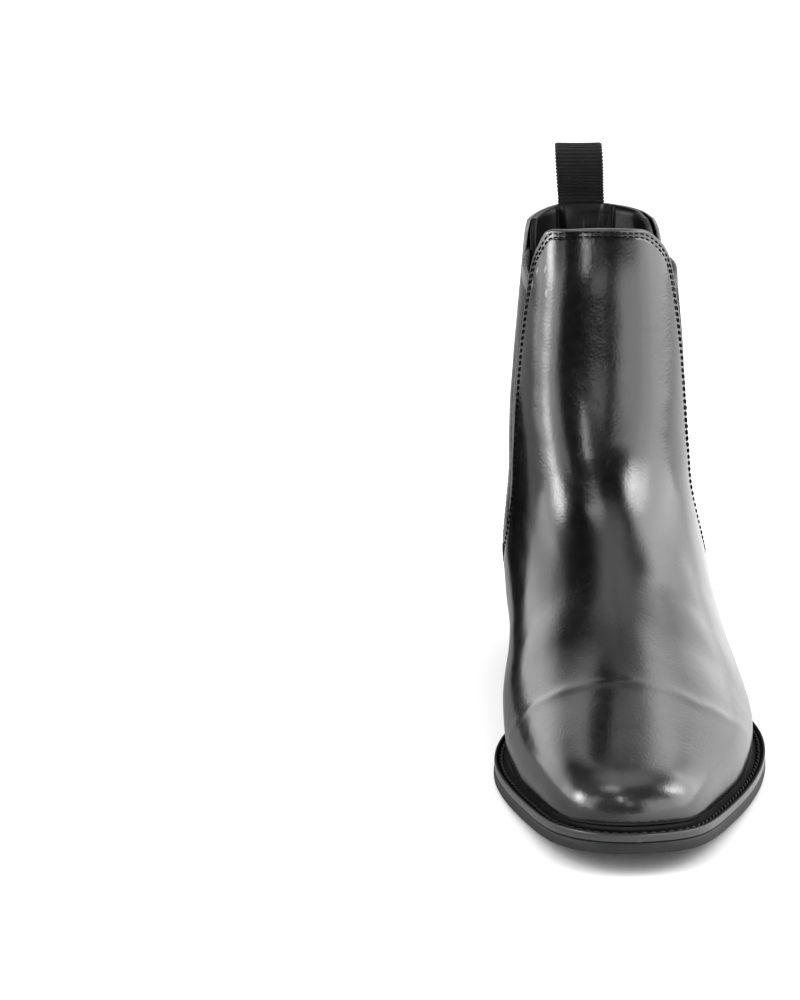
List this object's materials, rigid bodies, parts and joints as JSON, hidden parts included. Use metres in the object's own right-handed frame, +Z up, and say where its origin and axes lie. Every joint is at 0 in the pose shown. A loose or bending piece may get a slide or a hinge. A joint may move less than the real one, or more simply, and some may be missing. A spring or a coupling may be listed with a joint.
{
  "type": "chelsea boot",
  "caption": "Ankle boot in black polished leather with elastic side gores, a stitched welt, a low stacked heel and a webbing pull loop at the back.",
  "frame": {"origin": "on the ground, under the middle of the boot's box", "axes": "+Y from toe to heel, +Z up, +X towards the outer side of a left boot"},
  "size_m": [0.1092, 0.2895, 0.217],
  "materials": {
    "calf": "high-polish box calf",
    "elastic": "fine ribbed elastic webbing",
    "lining": "smooth satin lining leather",
    "stiffener": "resin-filled stiffener sheet",
    "board": "matt fibre board",
    "steel": "plain spring steel",
    "cork": "granular cork",
    "welt": "satin burnished",
    "sole_edge": "satin black edge",
    "stack": "satin black edge",
    "rubber": "matt",
    "brass": "plain",
    "webbing": "ribbed grosgrain"
  },
  "bodies": {
    "boot": {"vamp": "calf", "quarter": "calf", "gore_lateral": "elastic", "gore_medial": "elastic", "vamp_lining": "lining", "quarter_lining": "lining", "heel_grip": "lining", "toe_puff": "stiffener", "heel_counter": "stiffener", "insole_board": "board", "sock_liner": "lining", "shank": "steel", "forefoot_filler": "cork", "welt": "welt", "outsole": "sole_edge", "heel_block": "stack", "top_lift": "rubber", "heel_nail_1": "brass", "heel_nail_2": "brass", "heel_nail_3": "brass", "heel_nail_4": "brass", "heel_nail_5": "brass"},
    "loop": {"pull_tab": "webbing"}
  },
  "joints": [
    {"name": "pull_tab_swing", "type": "hinge", "parent": "boot", "child": "loop", "pos_m": [-0.01125, 0.13125, 0.1936], "axis": [1, 0, 0], "range_deg": [-60, 60], "stiffness_Nm_per_rad": 0.02}
  ]
}
